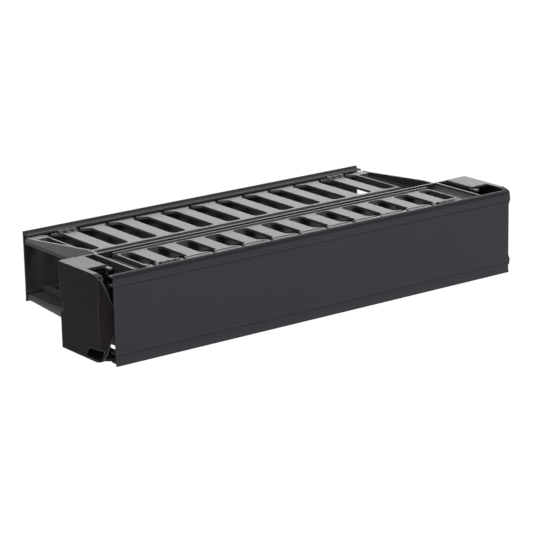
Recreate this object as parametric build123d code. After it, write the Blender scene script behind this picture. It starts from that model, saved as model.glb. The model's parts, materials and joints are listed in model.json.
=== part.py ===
from build123d import *
import math
import os

# Horizontal cable manager for a 19 inch rack, two rack units high, with finger ducts
# in front of and behind the rails and a hinged cover on each.
# Millimetres. The parts are drawn with X to the right, Y from the front cover's outer
# face to the rear and Z up from mid height, and are moved to the export frame at the end.

# Overall
RACK_WIDTH = 482.6
HALF_RACK = RACK_WIDTH / 2
DEPTH = 206.8
FRONT_COVER_HEIGHT = 84.7
REAR_COVER_HEIGHT = 69.5

# Where each piece ends along X, counted in from the rack's edge
BRACKET_WIDTH = 27.3
GUIDE_CLEARANCE = 10.0
FRONT_COMB_INSET = 55.8
REAR_COMB_INSET = 53.3
CENTRE_INSET = 17.3
FRONT_COVER_INSET = 9.3
REAR_COVER_INSET = 38.8
BRACKET_INNER_X = HALF_RACK - BRACKET_WIDTH
FRONT_COVER_LENGTH = RACK_WIDTH - 2 * FRONT_COVER_INSET
REAR_COVER_LENGTH = RACK_WIDTH - 2 * REAR_COVER_INSET

# Rack fixing holes: two of the rack's three holes in each unit
SLOT_INSET = 8.75
SLOT_SPACING_X = RACK_WIDTH - 2 * SLOT_INSET
SLOT_SPACING_Z = 44.45
SLOT_WIDTH = 6.8
SLOT_LENGTH = 12.0
RAIL_FACE_Y = 77.4

# Cover section
COVER_WALL = 2.2
LIP_LEAN = 0.6
LIP_HEIGHT = 4.6
BEAD_DROP = 10.8
BEAD_HEIGHT = 0.25
NOSE_RADIUS = 1.0
RIB_THICKNESS = 1.6
RIB_REACH = 9.5
OUTER_RIB_DROP = 3.05
INNER_RIB_DROP = 11.25

# Fingers
FINGER_PITCH = 32.53
FINGER_WIDTH = 15.0
FINGER_END_ROOM = 5.0
COMB_THICKNESS = 2.5
END_LIP_THICKNESS = 1.8
END_LIP_HEIGHT = 12.0
ROOT_FLANGE_HEIGHT = 14.0
ROOT_FLANGE_THICKNESS = 2.0
ROOT_RADIUS = 5.0
ROOT_ROUND = 0.6
GAP_START = 9.4
GAP_END = 12.3
GAP_MOUTH_DEPTH = 3.6
GAP_NECK_LENGTH = 1.2
GAP_FLARE = 2.0
HEAD_CORNER = 2.0
STEP_BACK = 3.4
STEP_HEIGHT = 0.5
TIP_Y = 11.3

FRONT_COMB_Z = 38.0
FRONT_COMB_HALF = HALF_RACK - FRONT_COMB_INSET
FRONT_SLOT_START = 25.0
FRONT_SLOT_END = 68.0
FRONT_ROOT_EDGE = 70.0

REAR_COMB_Z = 30.7
REAR_COMB_HALF = HALF_RACK - REAR_COMB_INSET
REAR_SLOT_START = 18.8
REAR_SLOT_END = 87.8
REAR_ROOT_EDGE = 91.3

# Hinges
HINGE_Y = 15.5
HINGE_DROP = 1.0
KNUCKLE_RADIUS = 3.5
KNUCKLE_WIDTH = 4.2
KNUCKLE_PITCH = 7.75
PIN_RADIUS = 1.25
PIN_OVERHANG = 0.6
PIN_FIT = 0.05
EYE_FIT = 0.1
EYE_RADIUS = 3.3
EYE_SIDE_GAP = 0.3
EYE_FRONT_GAP = 0.5
EYE_MOUTH_GAP = 0.2
CLIP_HALF_WIDTH = 9.0
CLIP_REACH = 9.0
ARM_BELOW = 2.8
ARM_ABOVE = 1.1

# Duct back walls and centre plate
FRONT_BACK_Y = 72.0
FRONT_BACK_THICKNESS = 2.0
FRONT_BACK_HALF = FRONT_COMB_HALF + 1.0
FRONT_BACK_TOP = 39.0
CENTRE_THICKNESS = 2.0
CENTRE_HALF = HALF_RACK - CENTRE_INSET
CENTRE_TOP = 40.0
REAR_BACK_THICKNESS = 1.5
WINDOW_COUNT = 4
WINDOW_END_ROOM = 1.5
WINDOW_POST = 20.0
WINDOW_PITCH = 2 * (FRONT_COMB_HALF - WINDOW_END_ROOM) / WINDOW_COUNT
WINDOW_WIDTH = WINDOW_PITCH - WINDOW_POST
WINDOW_HEIGHT = 40.0
WINDOW_RADIUS = 6.0
BOSS_RADIUS = 4.5
PAD_RADIUS = 4.0
BOSS_Z = 14.0

# End guides beside the front fingers
GUIDE_START_Y = 12.0
GUIDE_WALL_X = BRACKET_INNER_X - GUIDE_CLEARANCE
GUIDE_WALL_THICKNESS = 2.0
GUIDE_TOP = 40.0
GUIDE_LEDGE_Z = 34.0
GUIDE_THICKNESS = 2.0
GUIDE_RADIUS = 5.0
FOOT_THICKNESS = 2.4
FOOT_BOTTOM = 16.0

# End brackets, folded from sheet
SHEET = 2.0
BRACKET_TOP = 40.8
FLANGE_TOP = 39.4
TOP_PLATE_FRONT = 38.5
TOP_BEND_RADIUS = 3.0
INNER_SKIRT = 9.0
EDGE_LIP = 5.0
EDGE_LIP_END_Z = 36.0
CORNER_START_Y = 19.0
CORNER_MIDDLE = (13.4, 39.4)
TONGUE_X = BRACKET_INNER_X + 2.5
TONGUE_WIDTH = 5.0
TONGUE_FRONT = 29.0
REAR_NOTCH_TOP = 5.3
REAR_NOTCH_BOTTOM = -6.0
REAR_NOTCH_DEPTH = 4.4
LOW_NOTCH = [(8.3, -28.0), (31.5, -30.0)]
LOW_NOTCH_FOOT_Y = 9.9
LOW_NOTCH_REAR_Y = 38.0
PLATE_SEAT = 0.5
SEAT_CLEARANCE = 0.3
# Front outline of the bottom plate, as distance in from the rack's edge and Y
BOTTOM_FRONT = [(0.0, 28.0), (2.6, 22.0), (11.0, 14.0)]
# Height, fold line on the side plate, and the wing's free edge as distance in and Y
WING = [
    (37.4, 11.0, 0.4, 9.2),
    (30.8, 10.6, 2.7, 5.7),
    (9.8, 13.6, 11.5, 4.8),
]
WING_LAP = 1.0

# Rear arms
ARM_END_Y = 195.0
ARM_LEDGE_DROP = 4.0
ARM_THICKNESS = 2.0
ARM_RADIUS = 4.0
ARM_WALL_FOOT_X = REAR_COMB_HALF + 18.2
ARM_WALL_FOOT_Z = 28.3
ARM_WALL_TOP_X = REAR_COMB_HALF + 13.0
ARM_WALL_TOP_Z = 40.0
ARM_SLOPE_START_Y = 93.0
ARM_SLOPE_END_Y = 188.0
ARM_SLOPE_END_Z = 31.0
ARM_PAD_START_Y = 184.5

# Fasteners
SCREW_RADIUS = 2.0
SCREW_FIT = 0.05
SCREW_HEAD_RADIUS = 3.8
SCREW_HEAD_HEIGHT = 2.2
SCREW_PAST = 1.6
BRACKET_SCREW_X = BRACKET_INNER_X + 6.0
BRACKET_SCREW_Z = (10.0, 26.0)
RIVET_RADIUS = 1.6
RIVET_HEAD_RADIUS = 2.8
RIVET_HEAD_HEIGHT = 1.0
RIVET_FIT = 0.05
COMB_RIVETS_X = (0.5 * FINGER_PITCH, 4.5 * FINGER_PITCH)
RIVET_DROP = 10.0
END_RIVETS_Y = (34.0, 60.0)
REAR_END_RIVETS_Y = (125.0, 160.0)
END_RIVET_DROP = 9.0

FRONT_EDGE = FRONT_COVER_HEIGHT / 2
REAR_EDGE = REAR_COVER_HEIGHT / 2
SLOT_GAP = FINGER_PITCH - FINGER_WIDTH
FLANGE_FRONT_Y = RAIL_FACE_Y - SHEET
FRONT_BACK_REAR = FRONT_BACK_Y + FRONT_BACK_THICKNESS
CENTRE_FRONT = RAIL_FACE_Y - PLATE_SEAT
CENTRE_REAR = CENTRE_FRONT + CENTRE_THICKNESS
REAR_BACK_FRONT = DEPTH - REAR_ROOT_EDGE
REAR_BACK_REAR = REAR_BACK_FRONT + REAR_BACK_THICKNESS
COVER_INNER = LIP_LEAN + COVER_WALL
CLUSTER_HALF = KNUCKLE_PITCH + KNUCKLE_WIDTH / 2


def block(x0, x1, y0, y1, z0, z1):
    """Box between two corners."""
    centre = Pos((x0 + x1) / 2, (y0 + y1) / 2, (z0 + z1) / 2)
    return centre * Box(abs(x1 - x0), abs(y1 - y0), abs(z1 - z0))


def face(points):
    return make_face(Polyline(*points, close=True))


def along_x(points, x0, x1):
    """Section given as (y, z) pulled along X."""
    return extrude(Plane.YZ.offset(x0) * face(points), amount=x1 - x0)


def along_y(points, y0, y1):
    """Section given as (x, z) pulled along Y."""
    plane = Plane(origin=(0, y0, 0), x_dir=(1, 0, 0), z_dir=(0, -1, 0))
    return extrude(plane * face(points), amount=y0 - y1)


def along_z(points, z0, z1):
    """Section given as (x, y) pulled along Z."""
    return extrude(Plane.XY.offset(z0) * face(points), amount=z1 - z0)


def rod_x(x0, x1, y, z, radius):
    return Pos((x0 + x1) / 2, y, z) * Rot(0, 90, 0) * Cylinder(radius, x1 - x0)


def rod_y(x, y0, y1, z, radius):
    return Pos(x, (y0 + y1) / 2, z) * Rot(90, 0, 0) * Cylinder(radius, y1 - y0)


def upside_down(part):
    return mirror(part, about=Plane.XY)


def other_end(part):
    return mirror(part, about=Plane.YZ)


def to_rear(part):
    """Turn a part drawn for the front half turn about Z into the rear half."""
    return Pos(0, DEPTH, 0) * Rot(0, 0, 180) * part


def cover(length, edge):
    """Extruded cover: a leaning lip with a round nose and a bead along each edge, two ribs behind."""
    section = Polyline(
        (0, edge),
        (0, edge - NOSE_RADIUS),
        (LIP_LEAN, edge - LIP_HEIGHT),
        (LIP_LEAN, edge - BEAD_DROP + 1.2),
        (LIP_LEAN - BEAD_HEIGHT, edge - BEAD_DROP),
        (LIP_LEAN, edge - BEAD_DROP - 1.2),
        (LIP_LEAN, 0),
        (COVER_INNER, 0),
        (COVER_INNER, edge - LIP_HEIGHT),
        (COVER_WALL, edge - NOSE_RADIUS),
        (COVER_WALL, edge),
        close=True,
    )
    half = make_face(section)
    half = fillet(half.vertices().group_by(Axis.Y)[-1], NOSE_RADIUS)
    for drop in (OUTER_RIB_DROP, INNER_RIB_DROP):
        middle = edge - drop
        rib = [
            (COVER_INNER - 0.5, middle - RIB_THICKNESS / 2),
            (RIB_REACH, middle - RIB_THICKNESS / 2),
            (RIB_REACH, middle + RIB_THICKNESS / 2),
            (COVER_INNER - 0.5, middle + RIB_THICKNESS / 2),
        ]
        half += face(rib)
    upper = extrude(Plane.YZ.offset(-length / 2) * half, amount=length)
    return upper + upside_down(upper)


def slot_cut(left, right, start, end, top):
    """One gap between fingers, rounded where the fingers spring from the root."""
    middle = (start + end) / 2
    radius = min(ROOT_RADIUS, (right - left) / 2 - 0.5)
    outline = [
        (left, start + 2.0),
        (left + 2.0, start),
        (right, start),
        (right, end),
        (left, end),
    ]
    body = along_z(outline, top - 20, top + 2)
    corners = [e for e in body.edges().filter_by(Axis.Z) if e.center().Y > middle]
    return fillet(corners, radius)


def head_gap(left, mouth, start, top):
    """Narrow way between two finger heads, with a funnel at each end of its neck."""
    right = left + SLOT_GAP
    neck_rear = start - GAP_MOUTH_DEPTH
    neck_front = neck_rear - GAP_NECK_LENGTH
    outline = [
        (mouth + HEAD_CORNER, start + 0.1),
        (left + GAP_START, neck_rear),
        (left + GAP_START, neck_front),
        (left + GAP_START - GAP_FLARE, TIP_Y - 1),
        (left + GAP_END + GAP_FLARE, TIP_Y - 1),
        (left + GAP_END, neck_front),
        (left + GAP_END, neck_rear),
        (right, start + 0.1),
    ]
    return along_z(outline, top - 20, top + 2)


def outer_finger(half):
    """Number of fingers on each side of the middle one."""
    return int((half - FINGER_WIDTH / 2 - FINGER_END_ROOM) / FINGER_PITCH)


def knuckles(top):
    """Three hinge knuckles on the tip of one finger."""
    axis_z = top - HINGE_DROP
    made = []
    for step in (-1, 0, 1):
        x = step * KNUCKLE_PITCH
        made.append(
            rod_x(x - KNUCKLE_WIDTH / 2, x + KNUCKLE_WIDTH / 2, HINGE_Y, axis_z, KNUCKLE_RADIUS)
        )
    return made


def comb(top, half, start, end, root_edge, flange_y):
    """Finger panel with its root flange, end lips and hinge knuckles, tips towards -Y."""
    low = top - COMB_THICKNESS
    panel = block(-half, half, TIP_Y, root_edge, low, top)
    root = panel.edges().filter_by(Axis.X).group_by(Axis.Z)[-1].sort_by(Axis.Y)[-1]
    panel = fillet(root, ROOT_ROUND)
    panel += block(
        -half, half, flange_y, flange_y + ROOT_FLANGE_THICKNESS, top - ROOT_FLANGE_HEIGHT, low
    )
    lip_inner = half - END_LIP_THICKNESS
    last = outer_finger(half)
    for index in range(-last - 1, last + 1):
        nominal = index * FINGER_PITCH + FINGER_WIDTH / 2
        left = max(nominal, -lip_inner)
        right = min(nominal + SLOT_GAP, lip_inner)
        panel -= slot_cut(left, right, start, end, top)
        if nominal + GAP_END + GAP_FLARE < lip_inner:
            panel -= head_gap(nominal, left, start, top)
    for side in (-1, 1):
        panel += block(
            side * lip_inner, side * half, start, flange_y + 0.5, top - END_LIP_HEIGHT, low + 0.5
        )
    panel -= block(-half, half, TIP_Y - 1, start - STEP_BACK, top - STEP_HEIGHT, top + 1)
    eye_half = (KNUCKLE_PITCH - KNUCKLE_WIDTH) / 2
    notch_end = HINGE_Y + EYE_RADIUS + EYE_FRONT_GAP
    axis_z = top - HINGE_DROP
    for side in (-1, 1):
        x = side * last * FINGER_PITCH
        for step in (-0.5, 0.5):
            eye_x = x + step * KNUCKLE_PITCH
            panel -= block(eye_x - eye_half, eye_x + eye_half, TIP_Y - 1, notch_end, low - 1, top + 1)
        for knuckle in knuckles(top):
            panel += Pos(x, 0, 0) * knuckle
        bore = CLUSTER_HALF + PIN_OVERHANG + PIN_FIT
        panel -= rod_x(x - bore, x + bore, HINGE_Y, axis_z, PIN_RADIUS + PIN_FIT)
    for x in COMB_RIVETS_X:
        for side in (-1, 1):
            panel -= rod_y(
                side * x, flange_y - 1, flange_y + 4, top - RIVET_DROP, RIVET_RADIUS + RIVET_FIT
            )
    return panel


def hinge_pins(top, half):
    """The two pins of one comb."""
    pins = []
    reach = CLUSTER_HALF + PIN_OVERHANG
    for side in (-1, 1):
        x = side * outer_finger(half) * FINGER_PITCH
        pins.append(rod_x(x - reach, x + reach, HINGE_Y, top - HINGE_DROP, PIN_RADIUS))
    return pins


def cover_clip(edge, top):
    """Moulded clip held between the cover's ribs, with two open eyes for the hinge pin."""
    axis_z = top - HINGE_DROP
    low = edge - INNER_RIB_DROP + RIB_THICKNESS / 2
    high = edge - OUTER_RIB_DROP - RIB_THICKNESS / 2
    clip = block(-CLIP_HALF_WIDTH, CLIP_HALF_WIDTH, COVER_INNER, CLIP_REACH, low, high)
    width = KNUCKLE_PITCH - KNUCKLE_WIDTH - 2 * EYE_SIDE_GAP
    for step in (-0.5, 0.5):
        x0 = step * KNUCKLE_PITCH - width / 2
        x1 = x0 + width
        clip += block(x0, x1, CLIP_REACH - 1, HINGE_Y, axis_z - ARM_BELOW, axis_z + ARM_ABOVE)
        clip += rod_x(x0, x1, HINGE_Y, axis_z, EYE_RADIUS)
    reach = CLIP_HALF_WIDTH
    clip -= rod_x(-reach, reach, HINGE_Y, axis_z, PIN_RADIUS + EYE_FIT)
    mouth = PIN_RADIUS + EYE_MOUTH_GAP
    clip -= block(-reach, reach, HINGE_Y, HINGE_Y + 10, axis_z - mouth, axis_z + mouth)
    return clip


def clip_pair(edge, top, half):
    x = outer_finger(half) * FINGER_PITCH
    clip = cover_clip(edge, top)
    return [Pos(-x, 0, 0) * clip, Pos(x, 0, 0) * clip]


def window_cut(y0, y1):
    """The cable pass-through windows in one of the upright walls."""
    cuts = []
    for index in range(WINDOW_COUNT):
        x = (index - (WINDOW_COUNT - 1) / 2) * WINDOW_PITCH
        hole = block(
            x - WINDOW_WIDTH / 2,
            x + WINDOW_WIDTH / 2,
            y0 - 1,
            y1 + 1,
            -WINDOW_HEIGHT / 2,
            WINDOW_HEIGHT / 2,
        )
        cuts.append(fillet(hole.edges().filter_by(Axis.Y), WINDOW_RADIUS))
    return cuts


def boss_places():
    return [(x, z) for x in (-WINDOW_PITCH, 0, WINDOW_PITCH) for z in (-BOSS_Z, BOSS_Z)]


def bracket_screw_places():
    return [
        (side * BRACKET_SCREW_X, updown * z)
        for side in (-1, 1)
        for updown in (-1, 1)
        for z in BRACKET_SCREW_Z
    ]


def guide_screw_places():
    x = (FRONT_COMB_HALF + GUIDE_WALL_X) / 2
    z = (FOOT_BOTTOM + GUIDE_LEDGE_Z) / 2
    return [(side * x, updown * z) for side in (-1, 1) for updown in (-1, 1)]


def rivet_places(top):
    return [
        (side * x, updown * (top - RIVET_DROP))
        for side in (-1, 1)
        for updown in (-1, 1)
        for x in COMB_RIVETS_X
    ]


def front_duct_back():
    """Back wall of the front duct, with bosses that stand it off the centre plate."""
    wall = block(
        -FRONT_BACK_HALF,
        FRONT_BACK_HALF,
        FRONT_BACK_Y,
        FRONT_BACK_REAR,
        -FRONT_BACK_TOP,
        FRONT_BACK_TOP,
    )
    for cut in window_cut(FRONT_BACK_Y, FRONT_BACK_REAR):
        wall -= cut
    for x, z in boss_places():
        wall += rod_y(x, FRONT_BACK_REAR - 0.5, CENTRE_FRONT, z, BOSS_RADIUS)
    for x, z in rivet_places(FRONT_COMB_Z):
        wall += rod_y(x, FRONT_ROOT_EDGE, FRONT_BACK_Y + 0.5, z, PAD_RADIUS)
    for x, z in boss_places():
        wall -= rod_y(x, FRONT_BACK_Y - 1, RAIL_FACE_Y + 1, z, SCREW_RADIUS + SCREW_FIT)
    for x, z in rivet_places(FRONT_COMB_Z):
        wall -= rod_y(x, FRONT_ROOT_EDGE - 1, RAIL_FACE_Y, z, RIVET_RADIUS + RIVET_FIT)
    return wall


def centre_plate():
    """Steel plate behind the rails' face that carries both ducts and the end brackets."""
    plate = block(
        -CENTRE_HALF, CENTRE_HALF, CENTRE_FRONT, CENTRE_REAR, -CENTRE_TOP, CENTRE_TOP
    )
    for cut in window_cut(CENTRE_FRONT, CENTRE_REAR):
        plate -= cut
    for x, z in boss_places() + bracket_screw_places() + guide_screw_places():
        plate -= rod_y(x, RAIL_FACE_Y - 1, CENTRE_REAR + 1, z, SCREW_RADIUS + SCREW_FIT)
    return plate


def rear_duct_back():
    """Back wall of the rear duct, between the two rear combs."""
    high = REAR_COMB_Z - COMB_THICKNESS
    wall = block(
        -REAR_COMB_HALF, REAR_COMB_HALF, REAR_BACK_FRONT, REAR_BACK_REAR, -high, high
    )
    for cut in window_cut(REAR_BACK_FRONT, REAR_BACK_REAR):
        wall -= cut
    for x, z in rivet_places(REAR_COMB_Z):
        wall -= rod_y(x, REAR_BACK_FRONT - 1, REAR_BACK_REAR + 1, z, RIVET_RADIUS + RIVET_FIT)
    return wall


def end_guide():
    """Upper right gutter beside the front fingers: a ledge, a cove and an upright wall."""
    inner = FRONT_COMB_HALF
    outer = GUIDE_WALL_X
    low = GUIDE_LEDGE_Z - GUIDE_THICKNESS
    lip_low = FRONT_COMB_Z - END_LIP_HEIGHT
    section = [
        (inner, lip_low),
        (inner + GUIDE_THICKNESS, lip_low),
        (inner + GUIDE_THICKNESS, low),
        (outer, low),
        (outer, GUIDE_TOP),
        (outer - GUIDE_WALL_THICKNESS, GUIDE_TOP),
        (outer - GUIDE_WALL_THICKNESS, GUIDE_LEDGE_Z),
        (inner, GUIDE_LEDGE_Z),
    ]
    guide = along_y(section, GUIDE_START_Y, CENTRE_FRONT)
    cove = [
        e
        for e in guide.edges().filter_by(Axis.Y)
        if abs(e.center().X - outer + GUIDE_WALL_THICKNESS) < 0.01
        and abs(e.center().Z - GUIDE_LEDGE_Z) < 0.01
    ]
    guide = fillet(cove, GUIDE_RADIUS)
    foot_inner = FRONT_BACK_HALF + 0.5
    guide += block(
        foot_inner, outer, CENTRE_FRONT - FOOT_THICKNESS, CENTRE_FRONT, FOOT_BOTTOM, low + 0.5
    )
    guide -= block(inner - 1, foot_inner, FRONT_BACK_Y, RAIL_FACE_Y + 1, 0, GUIDE_TOP + 1)
    x, z = guide_screw_places()[-1]
    guide -= rod_y(x, RAIL_FACE_Y - 5, RAIL_FACE_Y + 1, z, SCREW_RADIUS + SCREW_FIT)
    for y in END_RIVETS_Y:
        guide -= rod_x(
            inner - 1, inner + 5, y, FRONT_COMB_Z - END_RIVET_DROP, RIVET_RADIUS + RIVET_FIT
        )
    return guide


def wing_section(z, fold_y, edge_in, edge_y):
    """Cut through the inward wing at one height, as wide as the sheet is thick."""
    edge_x = HALF_RACK - edge_in
    run_x = edge_in
    run_y = fold_y - edge_y
    run = math.hypot(run_x, run_y)
    off_x = -run_y / run * SHEET
    off_y = run_x / run * SHEET
    lap = fold_y + WING_LAP
    points = [
        (HALF_RACK, lap),
        (HALF_RACK, fold_y),
        (edge_x, edge_y),
        (edge_x + off_x, edge_y + off_y),
        (HALF_RACK - SHEET, fold_y + off_y),
        (HALF_RACK - SHEET, lap + off_y),
    ]
    return Plane.XY.offset(z) * face(points)


def bracket_wing():
    """Front of the side plate, folded inward and narrowing to a tip behind the cover's end."""
    heights = WING + [(-z, *rest) for z, *rest in reversed(WING)]
    sections = [wing_section(*height) for height in heights]
    return loft(sections, ruled=True)


def end_bracket():
    """Right end bracket with rack flange, side plate, top and bottom plates and wing."""
    fold = [(y, z) for z, y, _, _ in WING]
    front = fold + [(y, -z) for y, z in reversed(fold)]
    corner_y, corner_z = CORNER_MIDDLE
    outline = (
        [(RAIL_FACE_Y, BRACKET_TOP), (CORNER_START_Y, BRACKET_TOP), (corner_y, corner_z)]
        + front
        + [(corner_y, -corner_z), (CORNER_START_Y, -BRACKET_TOP), (RAIL_FACE_Y, -BRACKET_TOP)]
    )
    side = along_x(outline, HALF_RACK - SHEET, HALF_RACK)
    bracket = side + bracket_wing()
    flange = block(
        BRACKET_INNER_X, HALF_RACK, FLANGE_FRONT_Y, RAIL_FACE_Y, -FLANGE_TOP, FLANGE_TOP
    )
    bracket += flange
    top_plate = [
        (BRACKET_INNER_X, BRACKET_TOP - INNER_SKIRT),
        (BRACKET_INNER_X + SHEET, BRACKET_TOP - INNER_SKIRT),
        (BRACKET_INNER_X + SHEET, BRACKET_TOP - SHEET),
        (HALF_RACK, BRACKET_TOP - SHEET),
        (HALF_RACK, BRACKET_TOP),
        (BRACKET_INNER_X, BRACKET_TOP),
    ]
    plate = along_y(top_plate, TOP_PLATE_FRONT, RAIL_FACE_Y)
    bend = plate.edges().filter_by(Axis.Y).sort_by(lambda e: e.center().X - e.center().Z)[0]
    plate = fillet(bend, TOP_BEND_RADIUS)
    rim = face(outline) - offset(face(outline), -SHEET)
    rim = extrude(Plane.YZ.offset(HALF_RACK - EDGE_LIP) * rim, amount=EDGE_LIP)
    plate += rim & block(
        0, HALF_RACK, 0, TOP_PLATE_FRONT + 1, EDGE_LIP_END_Z, BRACKET_TOP
    )
    tongue = block(
        TONGUE_X - TONGUE_WIDTH / 2,
        TONGUE_X + TONGUE_WIDTH / 2,
        TONGUE_FRONT,
        TOP_PLATE_FRONT + 1,
        BRACKET_TOP - 2 * SHEET + 0.5,
        BRACKET_TOP - SHEET + 0.5,
    )
    tips = tongue.edges().filter_by(Axis.Z).sort_by(Axis.Y)[:2]
    plate += fillet(tips, TONGUE_WIDTH / 2 - 0.2)
    bracket += plate
    bracket += upside_down(plate)
    bracket += bottom_front()
    bracket -= block(
        HALF_RACK - 5,
        HALF_RACK + 1,
        RAIL_FACE_Y - REAR_NOTCH_DEPTH,
        RAIL_FACE_Y + 1,
        REAR_NOTCH_BOTTOM,
        REAR_NOTCH_TOP,
    )
    bracket -= low_notch()
    bracket -= block(
        BRACKET_INNER_X - 1,
        CENTRE_HALF + SEAT_CLEARANCE,
        CENTRE_FRONT,
        RAIL_FACE_Y + 1,
        -BRACKET_TOP - 1,
        BRACKET_TOP + 1,
    )
    for updown in (-1, 1):
        bracket -= rack_slot(updown * SLOT_SPACING_Z / 2)
    for x, z in bracket_screw_places():
        if x > 0:
            bracket -= rod_y(x, FLANGE_FRONT_Y - 1, RAIL_FACE_Y + 1, z, SCREW_RADIUS + SCREW_FIT)
    return bracket


def bottom_front():
    """Part of the bottom plate that reaches forward under the wing."""
    outline = [(BRACKET_INNER_X, TOP_PLATE_FRONT + 1), (HALF_RACK, TOP_PLATE_FRONT + 1)]
    outline += [(HALF_RACK - inset, y) for inset, y in BOTTOM_FRONT]
    outline.append((BRACKET_INNER_X, BOTTOM_FRONT[-1][1]))
    return along_z(outline, -BRACKET_TOP, SHEET - BRACKET_TOP)


def low_notch():
    """Opening low in the side plate, above the bottom plate."""
    floor = SHEET - BRACKET_TOP
    outline = [(LOW_NOTCH_FOOT_Y, floor)] + LOW_NOTCH + [(LOW_NOTCH_REAR_Y, floor)]
    return along_x(outline, HALF_RACK - EDGE_LIP - 1, HALF_RACK + 1)


def rack_slot(z):
    """Slotted hole in the rack flange."""
    plane = Plane(origin=(SLOT_SPACING_X / 2, RAIL_FACE_Y + 1, z), x_dir=(1, 0, 0), z_dir=(0, -1, 0))
    return extrude(plane * SlotOverall(SLOT_LENGTH, SLOT_WIDTH), amount=SHEET + 2)


def rear_arm():
    """Upper right arm that carries the rear duct: a ledge and a leaning, sloping wall."""
    inner = REAR_COMB_HALF
    ledge = REAR_COMB_Z - ARM_LEDGE_DROP
    low = ledge - ARM_THICKNESS
    lip_low = REAR_COMB_Z - END_LIP_HEIGHT
    rise = ARM_WALL_TOP_Z - ARM_WALL_FOOT_Z
    inset = ARM_THICKNESS * math.hypot(ARM_WALL_FOOT_X - ARM_WALL_TOP_X, rise) / rise
    wall_x = ARM_WALL_FOOT_X - inset
    section = [
        (inner, lip_low),
        (inner + ARM_THICKNESS, lip_low),
        (inner + ARM_THICKNESS, low),
        (ARM_WALL_FOOT_X, low),
        (ARM_WALL_FOOT_X, ARM_WALL_FOOT_Z),
        (ARM_WALL_TOP_X, ARM_WALL_TOP_Z),
        (ARM_WALL_TOP_X - inset, ARM_WALL_TOP_Z),
        (wall_x, ARM_WALL_FOOT_Z),
        (wall_x, ledge),
        (inner, ledge),
    ]
    arm = along_y(section, CENTRE_REAR, ARM_END_Y)
    cove = [
        e
        for e in arm.edges().filter_by(Axis.Y)
        if abs(e.center().X - wall_x) < 0.01 and abs(e.center().Z - ledge) < 0.01
    ]
    arm = fillet(cove, min(ARM_RADIUS, ARM_WALL_FOOT_Z - ledge - 0.1))
    arm += block(
        inner, wall_x + 0.5, ARM_PAD_START_Y, ARM_END_Y, ledge - 0.5, REAR_COMB_Z
    )
    slope = [
        (ARM_SLOPE_START_Y, ARM_WALL_TOP_Z + 1),
        (ARM_SLOPE_START_Y, ARM_WALL_TOP_Z),
        (ARM_SLOPE_END_Y, ARM_SLOPE_END_Z),
        (ARM_END_Y + 1, ARM_SLOPE_END_Z),
        (ARM_END_Y + 1, ARM_WALL_TOP_Z + 1),
    ]
    arm -= along_x(slope, inner - 1, ARM_WALL_FOOT_X + 1)
    arm += block(
        inner, GUIDE_WALL_X, CENTRE_REAR, CENTRE_REAR + FOOT_THICKNESS, FOOT_BOTTOM, low + 0.5
    )
    x, z = guide_screw_places()[-1]
    arm -= rod_y(x, CENTRE_REAR - 1, CENTRE_REAR + 5, z, SCREW_RADIUS + SCREW_FIT)
    for y in REAR_END_RIVETS_Y:
        arm -= rod_x(
            inner - 1, inner + 5, y, REAR_COMB_Z - END_RIVET_DROP, RIVET_RADIUS + RIVET_FIT
        )
    return arm


def screw(x, y, z, length):
    """Pan head screw whose head bears on the plane Y = y and points forward."""
    head = rod_y(x, y - SCREW_HEAD_HEIGHT, y, z, SCREW_HEAD_RADIUS)
    rim = head.edges().filter_by(GeomType.CIRCLE).sort_by(Axis.Y)[0]
    head = fillet(rim, SCREW_HEAD_HEIGHT * 0.6)
    return head + rod_y(x, y - 0.5, y + length, z, SCREW_RADIUS)


def rivet(grip):
    """Rivet along +Z with a head at each end of its grip."""
    shank = Pos(0, 0, grip / 2) * Cylinder(RIVET_RADIUS, grip + 0.4)
    low = Pos(0, 0, -RIVET_HEAD_HEIGHT / 2) * Cylinder(RIVET_HEAD_RADIUS, RIVET_HEAD_HEIGHT)
    high = Pos(0, 0, grip + RIVET_HEAD_HEIGHT / 2) * Cylinder(RIVET_HEAD_RADIUS, RIVET_HEAD_HEIGHT)
    return shank + low + high


def wall_rivets(top, y0, y1):
    """Rivets through a comb's root flange and the duct's back wall."""
    body = Rot(-90, 0, 0) * rivet(y1 - y0)
    return [Pos(x, y0, z) * body for x, z in rivet_places(top)]


def end_rivets(half, places_y, top, thickness):
    """Rivets through a comb's end lip and the guide or arm beside it."""
    grip = END_LIP_THICKNESS + thickness
    body = Rot(0, 90, 0) * rivet(grip)
    made = []
    for y in places_y:
        one = Pos(half - END_LIP_THICKNESS, y, top - END_RIVET_DROP) * body
        for placed in (one, upside_down(one)):
            made += [placed, other_end(placed)]
    return made


def end_lip_holes(half, places_y, top):
    cuts = []
    for side in (-1, 1):
        for y in places_y:
            x0 = side * half - 4
            cuts.append(rod_x(x0, x0 + 8, y, top - END_RIVET_DROP, RIVET_RADIUS + RIVET_FIT))
    return cuts


def four_ways(name, part):
    """The upper right piece and its three mirror images."""
    return {
        name + "_upper_right": part,
        name + "_upper_left": other_end(part),
        name + "_lower_right": upside_down(part),
        name + "_lower_left": upside_down(other_end(part)),
    }


def save(name, solids):
    """Move one part to the export frame and write it."""
    if not isinstance(solids, list):
        solids = [solids]
    whole = Compound(children=[s for part in solids for s in part.solids()])
    moved = Pos(0, -DEPTH / 2, FRONT_EDGE) * whole
    moved.label = name
    export_step(moved, os.path.join("parts", name + ".step"))


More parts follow.
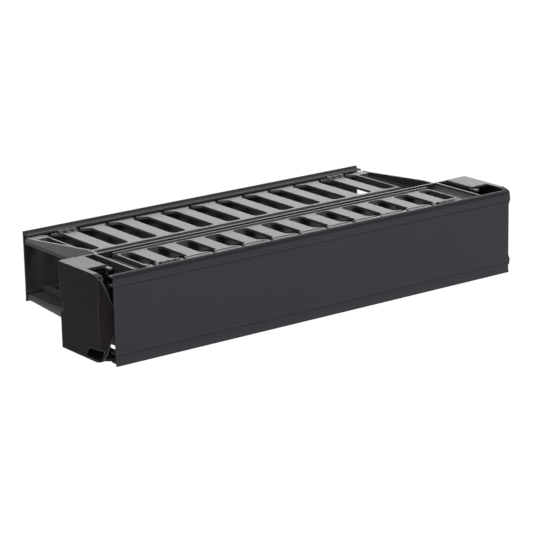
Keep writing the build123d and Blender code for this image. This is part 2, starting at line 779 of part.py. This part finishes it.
def main():
    os.makedirs("parts", exist_ok=True)
    front_comb = comb(
        FRONT_COMB_Z,
        FRONT_COMB_HALF,
        FRONT_SLOT_START,
        FRONT_SLOT_END,
        FRONT_ROOT_EDGE,
        FRONT_ROOT_EDGE - ROOT_FLANGE_THICKNESS,
    )
    rear_comb = comb(
        REAR_COMB_Z,
        REAR_COMB_HALF,
        REAR_SLOT_START,
        REAR_SLOT_END,
        REAR_ROOT_EDGE,
        REAR_ROOT_EDGE - REAR_BACK_THICKNESS - ROOT_FLANGE_THICKNESS,
    )
    rear_comb = to_rear(rear_comb)
    for cut in end_lip_holes(FRONT_COMB_HALF, END_RIVETS_Y, FRONT_COMB_Z):
        front_comb -= cut
    for cut in end_lip_holes(REAR_COMB_HALF, REAR_END_RIVETS_Y, REAR_COMB_Z):
        rear_comb -= cut
    front_clips = clip_pair(FRONT_EDGE, FRONT_COMB_Z, FRONT_COMB_HALF)
    rear_clips = [to_rear(c) for c in clip_pair(REAR_EDGE, REAR_COMB_Z, REAR_COMB_HALF)]
    front_pins = hinge_pins(FRONT_COMB_Z, FRONT_COMB_HALF)
    rear_pins = [to_rear(pin) for pin in hinge_pins(REAR_COMB_Z, REAR_COMB_HALF)]
    bracket = end_bracket()
    duct_screw_length = CENTRE_REAR - FRONT_BACK_Y + SCREW_PAST
    foot_screw_y = CENTRE_FRONT - FOOT_THICKNESS
    foot_screw_length = 2 * FOOT_THICKNESS + CENTRE_THICKNESS + SCREW_PAST
    bracket_screw_length = CENTRE_REAR - FLANGE_FRONT_Y + SCREW_PAST

    nodes = {
        "centre_plate": centre_plate(),
        "front_duct_back": front_duct_back(),
        "rear_duct_back": rear_duct_back(),
        "front_comb_upper": front_comb,
        "front_comb_lower": upside_down(front_comb),
        "rear_comb_upper": rear_comb,
        "rear_comb_lower": upside_down(rear_comb),
        "end_bracket_right": bracket,
        "end_bracket_left": other_end(bracket),
        "front_cover": cover(FRONT_COVER_LENGTH, FRONT_EDGE),
        "rear_cover": to_rear(cover(REAR_COVER_LENGTH, REAR_EDGE)),
        "front_cover_clips_upper": front_clips,
        "front_cover_clips_lower": [upside_down(clip) for clip in front_clips],
        "rear_cover_clips_upper": rear_clips,
        "rear_cover_clips_lower": [upside_down(clip) for clip in rear_clips],
        "front_hinge_pins": front_pins + [upside_down(pin) for pin in front_pins],
        "rear_hinge_pins": rear_pins + [upside_down(pin) for pin in rear_pins],
        "duct_screws": [screw(x, FRONT_BACK_Y, z, duct_screw_length) for x, z in boss_places()],
        "bracket_screws": [
            screw(x, FLANGE_FRONT_Y, z, bracket_screw_length) for x, z in bracket_screw_places()
        ],
        "guide_screws": [
            screw(x, foot_screw_y, z, foot_screw_length) for x, z in guide_screw_places()
        ],
        "front_comb_rivets": wall_rivets(
            FRONT_COMB_Z, FRONT_ROOT_EDGE - ROOT_FLANGE_THICKNESS, FRONT_BACK_REAR
        ),
        "rear_comb_rivets": wall_rivets(
            REAR_COMB_Z, REAR_BACK_FRONT, REAR_BACK_REAR + ROOT_FLANGE_THICKNESS
        ),
        "end_guide_rivets": end_rivets(
            FRONT_COMB_HALF, END_RIVETS_Y, FRONT_COMB_Z, GUIDE_THICKNESS
        ),
        "rear_arm_rivets": end_rivets(
            REAR_COMB_HALF, REAR_END_RIVETS_Y, REAR_COMB_Z, ARM_THICKNESS
        ),
    }
    nodes.update(four_ways("end_guide", end_guide()))
    nodes.update(four_ways("rear_arm", rear_arm()))
    for name, solids in nodes.items():
        save(name, solids)


main()
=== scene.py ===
import json
import math

import bpy
from mathutils import Matrix, Vector

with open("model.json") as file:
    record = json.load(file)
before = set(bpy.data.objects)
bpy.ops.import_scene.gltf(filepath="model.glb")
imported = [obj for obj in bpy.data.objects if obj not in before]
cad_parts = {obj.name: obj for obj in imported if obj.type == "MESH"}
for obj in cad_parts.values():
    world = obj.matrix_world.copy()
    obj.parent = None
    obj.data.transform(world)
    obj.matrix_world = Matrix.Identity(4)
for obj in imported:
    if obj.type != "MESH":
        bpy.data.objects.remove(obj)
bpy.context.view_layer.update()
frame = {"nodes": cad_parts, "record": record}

# Metres, in the CAD frame: X to the right, Y to the rear, Z up, the part's base at Z = 0.
DEPTH = 0.2068
HALF_HEIGHT = 0.04235
PART_MIDDLE = (0, 0, 0.04)

# Camera, fitted to the photograph: degrees, pixels, and its place in millimetres
AZIMUTH = 36.13
ELEVATION = 15.979
ROLL = -1.222
PHOTO_WIDTH = 533
FOCAL_LENGTH = 2318.456
CAMERA_PLACE = (-1271.7, -1650.6, 604.7)
SENSOR_WIDTH = 36
VIEW_NEAR = 0.05
VIEW_FAR = 60

# Surfaces: radii in metres, noise scales per metre, leans as the Z of the face's normal
CLOUD_SCALE = 22.0
CLOUD_STOPS = (0.3, 0.7)
GRAIN_STRENGTH = 0.25
EDGE_RADIUS = 0.0003
BEVEL_SAMPLES = 6
# Painted highlight along the edges: bevel radius, where it starts and is full, and its blue
# tint
HIGHLIGHT_RADIUS = 0.0012
HIGHLIGHT_START = 0.97
HIGHLIGHT_FULL = 0.82
HIGHLIGHT_BLUE = 1.04
# Painted shade on faces that lean down: full from the first lean, none from the second
UNDER_LEAN = -0.14
UPRIGHT_LEAN = -0.03
# Painted light on faces that lean as the rear arms' walls do: their lean, and how near it a
# face gets the full gain
ARM_WALL_LEAN = 0.406
ARM_WALL_NEAR = 0.03
ARM_WALL_FAR = 0.08

# Floor and world: the floor lies below the part, clear of the covers when they hang open
FLOOR_HALF_WIDTH = 14
FLOOR_DROP = 0.03
FLOOR_GREY = 0.6
FLOOR_ROUGHNESS = 0.9
FLOOR_GLOW = 1.06
FLOOR_GLOW_SHARE = 0.94
WORLD_FILL = 0.4
WORLD_SEEN = 1.0
WHITE = (1, 1, 1, 1)

# Lamps aimed at the middle of the part: name, place, width, height, watts
LAMPS = [
    ("front", (0.6, -1.7, 1.7), 1.4, 1.0, 38),
    ("back", (1.2, 1.9, 0.95), 3.4, 1.5, 74),
]


# Camera

def design(x, y, z):
    """A point in millimetres from the front cover's face and mid height, in this frame."""
    return Vector((x / 1000, y / 1000 - DEPTH / 2, z / 1000 + HALF_HEIGHT))


def make_camera():
    azimuth = math.radians(AZIMUTH)
    elevation = math.radians(ELEVATION)
    roll = math.radians(ROLL)
    forward = Vector((
        math.sin(azimuth) * math.cos(elevation),
        math.cos(azimuth) * math.cos(elevation),
        -math.sin(elevation),
    ))
    level_right = forward.cross(Vector((0, 0, 1))).normalized()
    level_up = level_right.cross(forward)
    right = level_right * math.cos(roll) + level_up * math.sin(roll)
    up = level_up * math.cos(roll) - level_right * math.sin(roll)
    data = bpy.data.cameras.new("camera")
    data.sensor_fit = "HORIZONTAL"
    data.sensor_width = SENSOR_WIDTH
    data.lens = SENSOR_WIDTH * FOCAL_LENGTH / PHOTO_WIDTH
    data.clip_start = VIEW_NEAR
    data.clip_end = VIEW_FAR
    camera = bpy.data.objects.new("camera", data)
    place = Matrix((right, up, -forward)).transposed().to_4x4()
    place.translation = design(*CAMERA_PLACE)
    camera.matrix_world = place
    bpy.context.scene.collection.objects.link(camera)
    bpy.context.scene.camera = camera


# Node helpers: each takes and gives sockets

def new_material(name):
    made = bpy.data.materials.new(name)
    made.use_nodes = True
    tree = made.node_tree
    return made, tree, tree.nodes["Principled BSDF"]


def node(tree, kind, **values):
    """A new node, with its inputs or settings of these names set."""
    made = tree.nodes.new(kind)
    for key, value in values.items():
        if key in made.inputs:
            made.inputs[key].default_value = value
        else:
            setattr(made, key, value)
    return made


def noise(tree, place, scale, detail):
    made = node(tree, "ShaderNodeTexNoise", Scale=scale, Detail=detail)
    tree.links.new(place.outputs["Object"], made.inputs["Vector"])
    return made.outputs["Fac"]


def remap(tree, value, start, end, at_start, at_end):
    """The value's way from start to end as one from at_start to at_end, held at both."""
    ends = {"From Min": start, "From Max": end, "To Min": at_start, "To Max": at_end}
    made = node(tree, "ShaderNodeMapRange", **ends)
    tree.links.new(value, made.inputs["Value"])
    return made.outputs["Result"]


def ramp(tree, value, dark, light, stops=(0.0, 1.0)):
    """A colour that goes from dark to light as the value goes from stop to stop."""
    made = node(tree, "ShaderNodeValToRGB")
    for element, stop, colour in zip(made.color_ramp.elements, stops, (dark, light)):
        element.position = stop
        element.color = (*colour, 1)
    tree.links.new(value, made.inputs["Fac"])
    return made.outputs["Color"]


def scaled(tree, tone, share):
    made = node(tree, "ShaderNodeVectorMath", operation="SCALE")
    tree.links.new(tone, made.inputs[0])
    tree.links.new(share, made.inputs["Scale"])
    return made.outputs["Vector"]


def softened_normal(tree, radius):
    made = node(tree, "ShaderNodeBevel", Radius=radius, samples=BEVEL_SAMPLES)
    return made.outputs["Normal"]


def face_lean(tree, place):
    """Z of the face's normal: 1 for a top, 0 for an upright face, -1 for an underside."""
    parts = node(tree, "ShaderNodeSeparateXYZ")
    tree.links.new(place.outputs["Normal"], parts.inputs[0])
    return parts.outputs["Z"]


def painted_underside_shade(tree, place, tone, painted_shade_share):
    """Painted shade: the tone, down to the given share of it on faces that lean down, as if
    they got less light.
    """
    lean = face_lean(tree, place)
    return scaled(tree, tone, remap(tree, lean, UNDER_LEAN, UPRIGHT_LEAN, painted_shade_share, 1.0))


def painted_wall_light(tree, place, tone, gain):
    """Painted light: the tone, lighter by gain on faces that lean as the rear arms' walls do,
    as if a lamp lit them.
    """
    off = node(tree, "ShaderNodeMath", operation="SUBTRACT")
    tree.links.new(face_lean(tree, place), off.inputs[0])
    off.inputs[1].default_value = ARM_WALL_LEAN
    distance = node(tree, "ShaderNodeMath", operation="ABSOLUTE")
    tree.links.new(off.outputs[0], distance.inputs[0])
    share = remap(tree, distance.outputs[0], ARM_WALL_NEAR, ARM_WALL_FAR, gain, 1.0)
    return scaled(tree, tone, share)


def painted_edge_highlight(tree, tone, painted_highlight_grey):
    """Painted highlight: the tone, paler towards a grey along the edges, as light catching
    rounded edges.
    """
    flat = node(tree, "ShaderNodeNewGeometry")
    turn = node(tree, "ShaderNodeVectorMath", operation="DOT_PRODUCT")
    tree.links.new(softened_normal(tree, HIGHLIGHT_RADIUS), turn.inputs[0])
    tree.links.new(flat.outputs["Normal"], turn.inputs[1])
    mix = node(tree, "ShaderNodeMix", data_type="RGBA")
    base, highlight_colour = [socket for socket in mix.inputs if socket.type == "RGBA"]
    mixed, = [socket for socket in mix.outputs if socket.type == "RGBA"]
    share = remap(tree, turn.outputs["Value"], HIGHLIGHT_START, HIGHLIGHT_FULL, 0.0, 1.0)
    tree.links.new(share, mix.inputs["Factor"])
    tree.links.new(tone, base)
    highlight_colour.default_value = (painted_highlight_grey, painted_highlight_grey, painted_highlight_grey * HIGHLIGHT_BLUE, 1)
    return mixed


# Materials

def plastic(name, dark, light, roughness, spread, grain, depth, specular,
            edge=EDGE_RADIUS, painted_shade_share=None, painted_light_gain=None, painted_highlight_grey=None):
    """Black moulded or painted surface: cloudy tone, fine grain and softened edges.

    The last three paint light and shade into the tone: a painted shade on faces that lean
    down, a painted light on faces that lean as the rear arms' walls do, and a painted
    highlight along the edges.
    """
    made, tree, shader = new_material(name)
    link = tree.links.new
    place = node(tree, "ShaderNodeTexCoord")
    clouds = noise(tree, place, CLOUD_SCALE, 3.0)
    tone = ramp(tree, clouds, dark, light, CLOUD_STOPS)
    if painted_shade_share is not None:
        tone = painted_underside_shade(tree, place, tone, painted_shade_share)
    if painted_light_gain is not None:
        tone = painted_wall_light(tree, place, tone, painted_light_gain)
    if painted_highlight_grey is not None:
        tone = painted_edge_highlight(tree, tone, painted_highlight_grey)
    link(tone, shader.inputs["Base Color"])
    rough = remap(tree, clouds, 0.0, 1.0, roughness - spread, roughness + spread)
    link(rough, shader.inputs["Roughness"])
    bump = node(tree, "ShaderNodeBump", Strength=GRAIN_STRENGTH, Distance=depth)
    link(noise(tree, place, grain, 2.0), bump.inputs["Height"])
    if edge:
        link(softened_normal(tree, edge), bump.inputs["Normal"])
    link(bump.outputs["Normal"], shader.inputs["Normal"])
    shader.inputs["Specular IOR Level"].default_value = specular
    return made


def steel(name, dark, light, smooth, rough, scale):
    """Plain bare metal with fine marks in tone and roughness."""
    made, tree, shader = new_material(name)
    place = node(tree, "ShaderNodeTexCoord")
    marks = noise(tree, place, scale, 3.0)
    tree.links.new(remap(tree, marks, 0.0, 1.0, smooth, rough), shader.inputs["Roughness"])
    tree.links.new(ramp(tree, marks, dark, light), shader.inputs["Base Color"])
    shader.inputs["Metallic"].default_value = 1.0
    return made


MATERIALS = {
    # Moulded: painted light on faces that lean as the rear arms' walls do
    "moulded_plastic": plastic(
        "moulded", dark=(0.078, 0.074, 0.080), light=(0.088, 0.084, 0.090),
        roughness=0.46, spread=0.03, grain=1500, depth=0.00005, specular=0.08, painted_light_gain=2.35,
    ),
    "clip_plastic": plastic(
        "clip", dark=(0.046, 0.043, 0.047), light=(0.052, 0.049, 0.053),
        roughness=0.50, spread=0.04, grain=1500, depth=0.00005, specular=0.08,
    ),
    # Cover: painted shade on faces that lean down, and a painted highlight along its edges
    "cover_plastic": plastic(
        "cover", dark=(0.047, 0.044, 0.051), light=(0.051, 0.048, 0.055),
        roughness=0.60, spread=0.05, grain=900, depth=0.00004, specular=0.03,
        edge=0, painted_shade_share=0.66, painted_highlight_grey=0.11,
    ),
    # Paint: a painted highlight along its edges
    "painted_steel": plastic(
        "paint", dark=(0.023, 0.019, 0.023), light=(0.027, 0.022, 0.027),
        roughness=0.30, spread=0.03, grain=2400, depth=0.00005, specular=0.02, painted_highlight_grey=0.18,
    ),
    "pin_steel": steel(
        "pin", dark=(0.42, 0.42, 0.43), light=(0.56, 0.56, 0.57),
        smooth=0.26, rough=0.42, scale=900.0,
    ),
    "black_screws": plastic(
        "screws", dark=(0.020, 0.020, 0.022), light=(0.030, 0.030, 0.032),
        roughness=0.34, spread=0.05, grain=1800, depth=0.00003, specular=0.2,
    ),
    "rivet_plastic": plastic(
        "rivets", dark=(0.026, 0.024, 0.027), light=(0.032, 0.030, 0.033),
        roughness=0.45, spread=0.04, grain=1500, depth=0.00004, specular=0.1,
    ),
}


def dress_nodes():
    """Give every CAD node the material of its slot."""
    slots = {s["node"]: s["material_slot"] for s in frame["record"]["subparts"]}
    for name, obj in frame["nodes"].items():
        chosen = MATERIALS[slots[name]]
        if obj.material_slots:
            for place in obj.material_slots:
                place.material = chosen
        else:
            obj.data.materials.append(chosen)


# Floor, world and lamps

def seen_rays(tree):
    """1 for rays from the camera, in reflections and through clear pieces, else 0."""
    rays = node(tree, "ShaderNodeLightPath")
    seen = rays.outputs["Is Camera Ray"]
    for kind in ("Is Glossy Ray", "Is Transmission Ray"):
        either = node(tree, "ShaderNodeMath", operation="MAXIMUM")
        tree.links.new(seen, either.inputs[0])
        tree.links.new(rays.outputs[kind], either.inputs[1])
        seen = either.outputs[0]
    return seen


def mix_into(tree, share, plain, bright, output):
    """Show plain, and bright by the share, at the tree's output."""
    mix = node(tree, "ShaderNodeMixShader")
    for target, source in zip(mix.inputs, (share, plain.outputs[0], bright.outputs[0])):
        tree.links.new(source, target)
    tree.links.new(mix.outputs[0], tree.nodes[output].inputs["Surface"])


def floor_material():
    """White to the camera and in reflections, plain pale to the light it bounces."""
    made, tree, shader = new_material("floor")
    shader.inputs["Base Color"].default_value = (FLOOR_GREY, FLOOR_GREY, FLOOR_GREY, 1)
    shader.inputs["Roughness"].default_value = FLOOR_ROUGHNESS
    shader.inputs["Specular IOR Level"].default_value = 0.0
    share = node(tree, "ShaderNodeMath", operation="MULTIPLY")
    share.inputs[1].default_value = FLOOR_GLOW_SHARE
    tree.links.new(seen_rays(tree), share.inputs[0])
    glow = node(tree, "ShaderNodeEmission", Color=WHITE, Strength=FLOOR_GLOW)
    mix_into(tree, share.outputs[0], shader, glow, "Material Output")
    return made


def make_floor():
    mesh = bpy.data.meshes.new("floor")
    half = FLOOR_HALF_WIDTH
    corners = [(-half, -half, 0), (half, -half, 0), (half, half, 0), (-half, half, 0)]
    mesh.from_pydata(corners, [], [(0, 1, 2, 3)])
    floor = bpy.data.objects.new("floor", mesh)
    floor.location.z = -FLOOR_DROP
    bpy.context.scene.collection.objects.link(floor)
    mesh.materials.append(floor_material())


def make_world():
    """White where it is seen, and an even, weaker fill for the light it gives."""
    world = bpy.data.worlds.new("studio")
    world.use_nodes = True
    tree = world.node_tree
    bpy.context.scene.world = world
    fill = tree.nodes["Background"]
    fill.inputs["Color"].default_value = WHITE
    fill.inputs["Strength"].default_value = WORLD_FILL
    white = node(tree, "ShaderNodeBackground", Color=WHITE, Strength=WORLD_SEEN)
    mix_into(tree, seen_rays(tree), fill, white, "World Output")


def make_lamps():
    for name, place, width, height, watts in LAMPS:
        data = bpy.data.lights.new(name, "AREA")
        data.shape = "RECTANGLE"
        data.size = width
        data.size_y = height
        data.energy = watts
        lamp = bpy.data.objects.new(name, data)
        lamp.location = place
        aim = Vector(PART_MIDDLE) - Vector(place)
        lamp.rotation_euler = aim.to_track_quat("-Z", "Y").to_euler()
        bpy.context.scene.collection.objects.link(lamp)


make_camera()
dress_nodes()
make_floor()
make_world()
make_lamps()
bpy.context.scene.view_settings.view_transform = "Standard"
